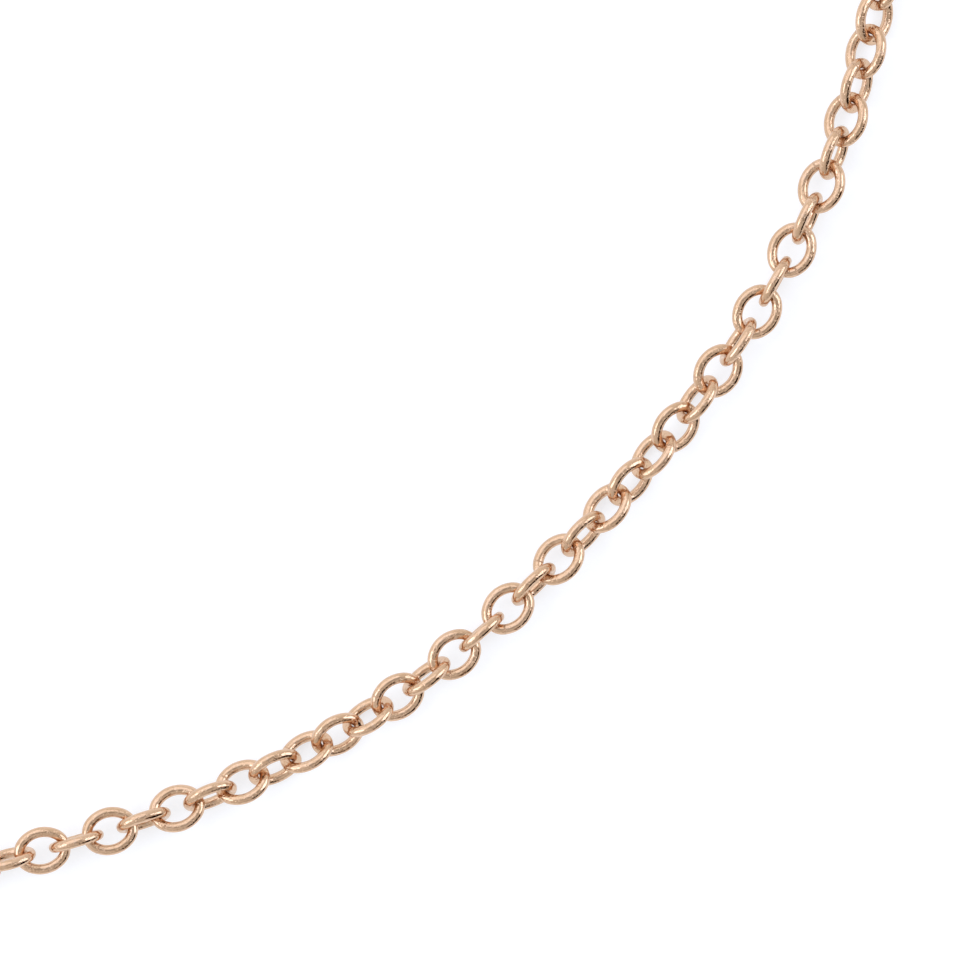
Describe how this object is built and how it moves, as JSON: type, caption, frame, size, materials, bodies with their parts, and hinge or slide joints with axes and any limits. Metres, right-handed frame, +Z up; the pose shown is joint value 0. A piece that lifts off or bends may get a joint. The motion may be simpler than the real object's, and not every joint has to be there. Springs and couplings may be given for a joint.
{
  "type": "chain necklace",
  "caption": "Fine oval cable chain necklace in rose gold with a spring ring clasp, unfastened and lying flat in a loop.",
  "frame": {"origin": "centre of the loop, on the surface that the necklace lies on", "axes": "+Z up from that surface; the front of the necklace is at -Y and its two ends are at +Y, the clasp's to the right (+X) of the end tab's"},
  "size_m": [0.1468, 0.1484, 0.0029],
  "materials": {
    "rose_gold": "polished",
    "spring_steel": "drawn wire"
  },
  "bodies": {
    "links_front": {"links_front": "rose_gold"},
    "links_right_1": {"links_right_1": "rose_gold"},
    "links_right_2": {"links_right_2": "rose_gold"},
    "links_right_3": {"links_right_3": "rose_gold"},
    "links_right_4": {"links_right_4": "rose_gold"},
    "links_right_5": {"links_right_5": "rose_gold"},
    "links_right_6": {"links_right_6": "rose_gold"},
    "links_right_7": {"links_right_7": "rose_gold"},
    "links_right_8": {"links_right_8": "rose_gold"},
    "links_right_9": {"links_right_9": "rose_gold"},
    "links_right_10": {"links_right_10": "rose_gold"},
    "links_right_11": {"links_right_11": "rose_gold"},
    "links_right_12": {"links_right_12": "rose_gold"},
    "links_right_13": {"links_right_13": "rose_gold"},
    "links_right_14": {"links_right_14": "rose_gold"},
    "links_right_15": {"links_right_15": "rose_gold"},
    "links_right_16": {"links_right_16": "rose_gold"},
    "links_right_17": {"links_right_17": "rose_gold"},
    "links_right_18": {"links_right_18": "rose_gold"},
    "links_right_19": {"links_right_19": "rose_gold"},
    "links_right_20": {"links_right_20": "rose_gold"},
    "links_right_21": {"links_right_21": "rose_gold"},
    "links_right_22": {"links_right_22": "rose_gold"},
    "links_right_23": {"links_right_23": "rose_gold"},
    "links_right_24": {"links_right_24": "rose_gold"},
    "links_left_1": {"links_left_1": "rose_gold"},
    "links_left_2": {"links_left_2": "rose_gold"},
    "links_left_3": {"links_left_3": "rose_gold"},
    "links_left_4": {"links_left_4": "rose_gold"},
    "links_left_5": {"links_left_5": "rose_gold"},
    "links_left_6": {"links_left_6": "rose_gold"},
    "links_left_7": {"links_left_7": "rose_gold"},
    "links_left_8": {"links_left_8": "rose_gold"},
    "links_left_9": {"links_left_9": "rose_gold"},
    "links_left_10": {"links_left_10": "rose_gold"},
    "links_left_11": {"links_left_11": "rose_gold"},
    "links_left_12": {"links_left_12": "rose_gold"},
    "links_left_13": {"links_left_13": "rose_gold"},
    "links_left_14": {"links_left_14": "rose_gold"},
    "links_left_15": {"links_left_15": "rose_gold"},
    "links_left_16": {"links_left_16": "rose_gold"},
    "links_left_17": {"links_left_17": "rose_gold"},
    "links_left_18": {"links_left_18": "rose_gold"},
    "links_left_19": {"links_left_19": "rose_gold"},
    "links_left_20": {"links_left_20": "rose_gold"},
    "links_left_21": {"links_left_21": "rose_gold"},
    "links_left_22": {"links_left_22": "rose_gold"},
    "links_left_23": {"links_left_23": "rose_gold"},
    "links_left_24": {"links_left_24": "rose_gold"},
    "clasp_jump_ring": {"clasp_jump_ring": "rose_gold"},
    "clasp": {"clasp_eye": "rose_gold", "clasp_tube": "rose_gold", "clasp_stop": "rose_gold", "clasp_spring": "spring_steel"},
    "clasp_bolt": {"clasp_bolt": "rose_gold", "clasp_thumb_knob": "rose_gold"},
    "tab_jump_ring": {"tab_jump_ring": "rose_gold"},
    "end_tab": {"end_tab": "rose_gold"}
  },
  "joints": [
    {"name": "links_right_1_swing", "type": "hinge", "parent": "links_front", "child": "links_right_1", "pos_m": [0.00401, -0.07202, 0.00118], "axis": [-0.0756, 0.7421, 0.666], "range_deg": [-75, 2.5]},
    {"name": "links_right_2_swing", "type": "hinge", "parent": "links_right_1", "child": "links_right_2", "pos_m": [0.01264, -0.07076, 0.00142], "axis": [0.2064, -0.9333, -0.2938], "range_deg": [-52.5, 75]},
    {"name": "links_right_3_swing", "type": "hinge", "parent": "links_right_2", "child": "links_right_3", "pos_m": [0.02107, -0.06864, 0.00147], "axis": [-0.2974, 0.9543, -0.0283], "range_deg": [-75, 75]},
    {"name": "links_right_4_swing", "type": "hinge", "parent": "links_right_3", "child": "links_right_4", "pos_m": [0.02931, -0.06579, 0.00131], "axis": [0.3435, -0.7887, 0.5098], "range_deg": [-75, 45]},
    {"name": "links_right_5_swing", "type": "hinge", "parent": "links_right_4", "child": "links_right_5", "pos_m": [0.03774, -0.06155, 0.00121], "axis": [0.3835, -0.6663, -0.6395], "range_deg": [-45, 75]},
    {"name": "links_right_6_swing", "type": "hinge", "parent": "links_right_5", "child": "links_right_6", "pos_m": [0.04481, -0.05643, 0.00146], "axis": [-0.6165, 0.7668, 0.1789], "range_deg": [-75, 75]},
    {"name": "links_right_7_swing", "type": "hinge", "parent": "links_right_6", "child": "links_right_7", "pos_m": [0.05114, -0.05043, 0.0014], "axis": [0.6674, -0.6578, 0.349], "range_deg": [-75, 75]},
    {"name": "links_right_8_swing", "type": "hinge", "parent": "links_right_7", "child": "links_right_8", "pos_m": [0.05643, -0.04445, 0.00131], "axis": [-0.6694, 0.531, 0.5195], "range_deg": [-75, 75]},
    {"name": "links_right_9_swing", "type": "hinge", "parent": "links_right_8", "child": "links_right_9", "pos_m": [0.06161, -0.03743, 0.00147], "axis": [0.8479, -0.5192, -0.1073], "range_deg": [-75, 75]},
    {"name": "links_right_10_swing", "type": "hinge", "parent": "links_right_9", "child": "links_right_10", "pos_m": [0.06578, -0.02976, 0.00141], "axis": [-0.8737, 0.3619, -0.325], "range_deg": [-75, 75]},
    {"name": "links_right_11_swing", "type": "hinge", "parent": "links_right_10", "child": "links_right_11", "pos_m": [0.0689, -0.02085, 0.00128], "axis": [-0.5302, 0.155, 0.8336], "range_deg": [-75, 75]},
    {"name": "links_right_12_swing", "type": "hinge", "parent": "links_right_11", "child": "links_right_12", "pos_m": [0.07073, -0.01234, 0.00129], "axis": [0.8218, -0.1505, -0.5496], "range_deg": [-75, 75]},
    {"name": "links_right_13_swing", "type": "hinge", "parent": "links_right_12", "child": "links_right_13", "pos_m": [0.07176, -0.00442, 0.00146], "axis": [0.1425, -0.01, 0.9897], "range_deg": [-75, 75]},
    {"name": "links_right_14_swing", "type": "hinge", "parent": "links_right_13", "child": "links_right_14", "pos_m": [0.07198, 0.00501, 0.00146], "axis": [0.9833, 0.0259, 0.1803], "range_deg": [-75, 75]},
    {"name": "links_right_15_swing", "type": "hinge", "parent": "links_right_14", "child": "links_right_15", "pos_m": [0.07099, 0.01298, 0.00118], "axis": [-0.6509, -0.1466, 0.7448], "range_deg": [-75, 75]},
    {"name": "links_right_16_swing", "type": "hinge", "parent": "links_right_15", "child": "links_right_16", "pos_m": [0.06868, 0.02139, 0.0014], "axis": [0.8768, 0.318, -0.3607], "range_deg": [-75, 75]},
    {"name": "links_right_17_swing", "type": "hinge", "parent": "links_right_16", "child": "links_right_17", "pos_m": [0.06517, 0.03013, 0.00147], "axis": [0.0141, 0.0062, -0.9999], "range_deg": [-75, 75]},
    {"name": "links_right_18_swing", "type": "hinge", "parent": "links_right_17", "child": "links_right_18", "pos_m": [0.06156, 0.03726, 0.00121], "axis": [0.663, 0.3925, 0.6375], "range_deg": [-75, 75]},
    {"name": "links_right_19_swing", "type": "hinge", "parent": "links_right_18", "child": "links_right_19", "pos_m": [0.05678, 0.04457, 0.00143], "axis": [-0.2062, -0.1665, -0.9642], "range_deg": [-75, 75]},
    {"name": "links_right_20_swing", "type": "hinge", "parent": "links_right_19", "child": "links_right_20", "pos_m": [0.05043, 0.05154, 0.00144], "axis": [-0.6792, -0.6957, -0.2339], "range_deg": [-75, 75]},
    {"name": "links_right_21_swing", "type": "hinge", "parent": "links_right_20", "child": "links_right_21", "pos_m": [0.04367, 0.05706, 0.00115], "axis": [0.4229, 0.559, 0.7132], "range_deg": [-75, 75]},
    {"name": "links_right_22_swing", "type": "hinge", "parent": "links_right_21", "child": "links_right_22", "pos_m": [0.03705, 0.06152, 0.00147], "axis": [-0.5128, -0.8565, 0.0587], "range_deg": [-75, 75]},
    {"name": "links_right_23_swing", "type": "hinge", "parent": "links_right_22", "child": "links_right_23", "pos_m": [0.02879, 0.06605, 0.0014], "axis": [-0.1617, -0.3257, 0.9316], "range_deg": [-75, 75]},
    {"name": "links_right_24_swing", "type": "hinge", "parent": "links_right_23", "child": "links_right_24", "pos_m": [0.02064, 0.06919, 0.00129], "axis": [0.2605, 0.7977, -0.5439], "range_deg": [-75, 75]},
    {"name": "links_left_1_swing", "type": "hinge", "parent": "links_front", "child": "links_left_1", "pos_m": [-0.00402, -0.07207, 0.00138], "axis": [-0.0854, -0.9177, 0.3881], "range_deg": [-12.5, 75]},
    {"name": "links_left_2_swing", "type": "hinge", "parent": "links_left_1", "child": "links_left_2", "pos_m": [-0.01266, -0.07084, 0.00147], "axis": [0.2225, 0.9731, -0.0606], "range_deg": [-75, 75]},
    {"name": "links_left_3_swing", "type": "hinge", "parent": "links_left_2", "child": "links_left_3", "pos_m": [-0.02107, -0.06863, 0.00136], "axis": [-0.2789, -0.8578, -0.4317], "range_deg": [-75, 45]},
    {"name": "links_left_4_swing", "type": "hinge", "parent": "links_left_3", "child": "links_left_4", "pos_m": [-0.02992, -0.06543, 0.00116], "axis": [-0.2706, -0.6737, 0.6877], "range_deg": [-32.5, 75]},
    {"name": "links_left_5_swing", "type": "hinge", "parent": "links_left_4", "child": "links_left_5", "pos_m": [-0.03773, -0.06153, 0.00143], "axis": [0.4679, 0.8349, -0.2897], "range_deg": [-75, 75]},
    {"name": "links_left_6_swing", "type": "hinge", "parent": "links_left_5", "child": "links_left_6", "pos_m": [-0.04486, -0.05649, 0.00142], "axis": [-0.5928, -0.7503, -0.2927], "range_deg": [-75, 75]},
    {"name": "links_left_7_swing", "type": "hinge", "parent": "links_left_6", "child": "links_left_7", "pos_m": [-0.05069, -0.05099, 0.00126], "axis": [0.5986, 0.5528, -0.5797], "range_deg": [-75, 75]},
    {"name": "links_left_8_swing", "type": "hinge", "parent": "links_left_7", "child": "links_left_8", "pos_m": [-0.0564, -0.04443, 0.00145], "axis": [-0.7708, -0.599, 0.217], "range_deg": [-75, 75]},
    {"name": "links_left_9_swing", "type": "hinge", "parent": "links_left_8", "child": "links_left_9", "pos_m": [-0.06153, -0.03739, 0.00144], "axis": [0.821, 0.5091, 0.2585], "range_deg": [-75, 75]},
    {"name": "links_left_10_swing", "type": "hinge", "parent": "links_left_9", "child": "links_left_10", "pos_m": [-0.06578, -0.02976, 0.00129], "axis": [-0.7717, -0.3312, -0.5429], "range_deg": [-75, 75]},
    {"name": "links_left_11_swing", "type": "hinge", "parent": "links_left_10", "child": "links_left_11", "pos_m": [-0.06879, -0.02156, 0.00128], "axis": [0.5345, 0.1393, 0.8336], "range_deg": [-75, 75]},
    {"name": "links_left_12_swing", "type": "hinge", "parent": "links_left_11", "child": "links_left_12", "pos_m": [-0.07076, -0.01234, 0.00141], "axis": [0.9295, 0.1601, -0.3323], "range_deg": [-75, 75]},
    {"name": "links_left_13_swing", "type": "hinge", "parent": "links_left_12", "child": "links_left_13", "pos_m": [-0.07169, -0.00442, 0.00146], "axis": [-0.1833, -0.0116, 0.983], "range_deg": [-75, 75]},
    {"name": "links_left_14_swing", "type": "hinge", "parent": "links_left_13", "child": "links_left_14", "pos_m": [-0.07191, 0.00501, 0.00134], "axis": [0.8797, -0.018, 0.4751], "range_deg": [-75, 75]},
    {"name": "links_left_15_swing", "type": "hinge", "parent": "links_left_14", "child": "links_left_15", "pos_m": [-0.07089, 0.01368, 0.0013], "axis": [-0.5173, 0.0891, -0.8512], "range_deg": [-75, 75]},
    {"name": "links_left_16_swing", "type": "hinge", "parent": "links_left_15", "child": "links_left_16", "pos_m": [-0.06876, 0.02142, 0.00147], "axis": [0.9348, -0.3431, 0.0917], "range_deg": [-75, 75]},
    {"name": "links_left_17_swing", "type": "hinge", "parent": "links_left_16", "child": "links_left_17", "pos_m": [-0.06517, 0.03013, 0.00132], "axis": [0.4539, -0.2065, -0.8668], "range_deg": [-75, 75]},
    {"name": "links_left_18_swing", "type": "hinge", "parent": "links_left_17", "child": "links_left_18", "pos_m": [-0.06114, 0.03783, 0.00128], "axis": [-0.7258, 0.4077, 0.5541], "range_deg": [-75, 75]},
    {"name": "links_left_19_swing", "type": "hinge", "parent": "links_left_18", "child": "links_left_19", "pos_m": [-0.05674, 0.04453, 0.00147], "axis": [0.0302, -0.0238, -0.9993], "range_deg": [-75, 75]},
    {"name": "links_left_20_swing", "type": "hinge", "parent": "links_left_19", "child": "links_left_20", "pos_m": [-0.05047, 0.05159, 0.00137], "axis": [-0.644, 0.6454, -0.4107], "range_deg": [-75, 75]},
    {"name": "links_left_21_swing", "type": "hinge", "parent": "links_left_20", "child": "links_left_21", "pos_m": [-0.04372, 0.05712, 0.00129], "axis": [0.3255, -0.4339, 0.8401], "range_deg": [-75, 75]},
    {"name": "links_left_22_swing", "type": "hinge", "parent": "links_left_21", "child": "links_left_22", "pos_m": [-0.03704, 0.0615, 0.00147], "axis": [-0.5032, 0.8636, -0.0318], "range_deg": [-75, 75]},
    {"name": "links_left_23_swing", "type": "hinge", "parent": "links_left_22", "child": "links_left_23", "pos_m": [-0.02875, 0.06597, 0.00137], "axis": [-0.1835, 0.3715, 0.9101], "range_deg": [-75, 75]},
    {"name": "links_left_24_swing", "type": "hinge", "parent": "links_left_23", "child": "links_left_24", "pos_m": [-0.02064, 0.06917, 0.00123], "axis": [0.2528, -0.7442, -0.6183], "range_deg": [-75, 75]},
    {"name": "clasp_jump_ring_swing", "type": "hinge", "parent": "links_right_24", "child": "clasp_jump_ring", "pos_m": [0.0121, 0.07102, 0.00147], "axis": [0.1611, 0.9869, 0], "range_deg": [-75, 75]},
    {"name": "clasp_swing", "type": "hinge", "parent": "clasp_jump_ring", "child": "clasp", "pos_m": [0.01043, 0.07129, 0.00147], "axis": [0, 0, 1], "range_deg": [-75, 75]},
    {"name": "clasp_bolt_slide_round", "type": "hinge", "parent": "clasp", "child": "clasp_bolt", "pos_m": [0.00659, 0.07192, 0.00093], "axis": [-0.1189, 0.0194, 0.9927], "range_deg": [0, 64], "stiffness_Nm_per_rad": 0.002, "springref_deg": -28.65, "deforming": ["clasp_spring"]},
    {"name": "tab_jump_ring_swing", "type": "hinge", "parent": "links_left_24", "child": "tab_jump_ring", "pos_m": [-0.01211, 0.0711, 0.00147], "axis": [0.1688, -0.9856, 0], "range_deg": [-75, 75]},
    {"name": "end_tab_swing", "type": "hinge", "parent": "tab_jump_ring", "child": "end_tab", "pos_m": [-0.01044, 0.07138, 0.00147], "axis": [0, 0, 1], "range_deg": [-65, 65]}
  ]
}
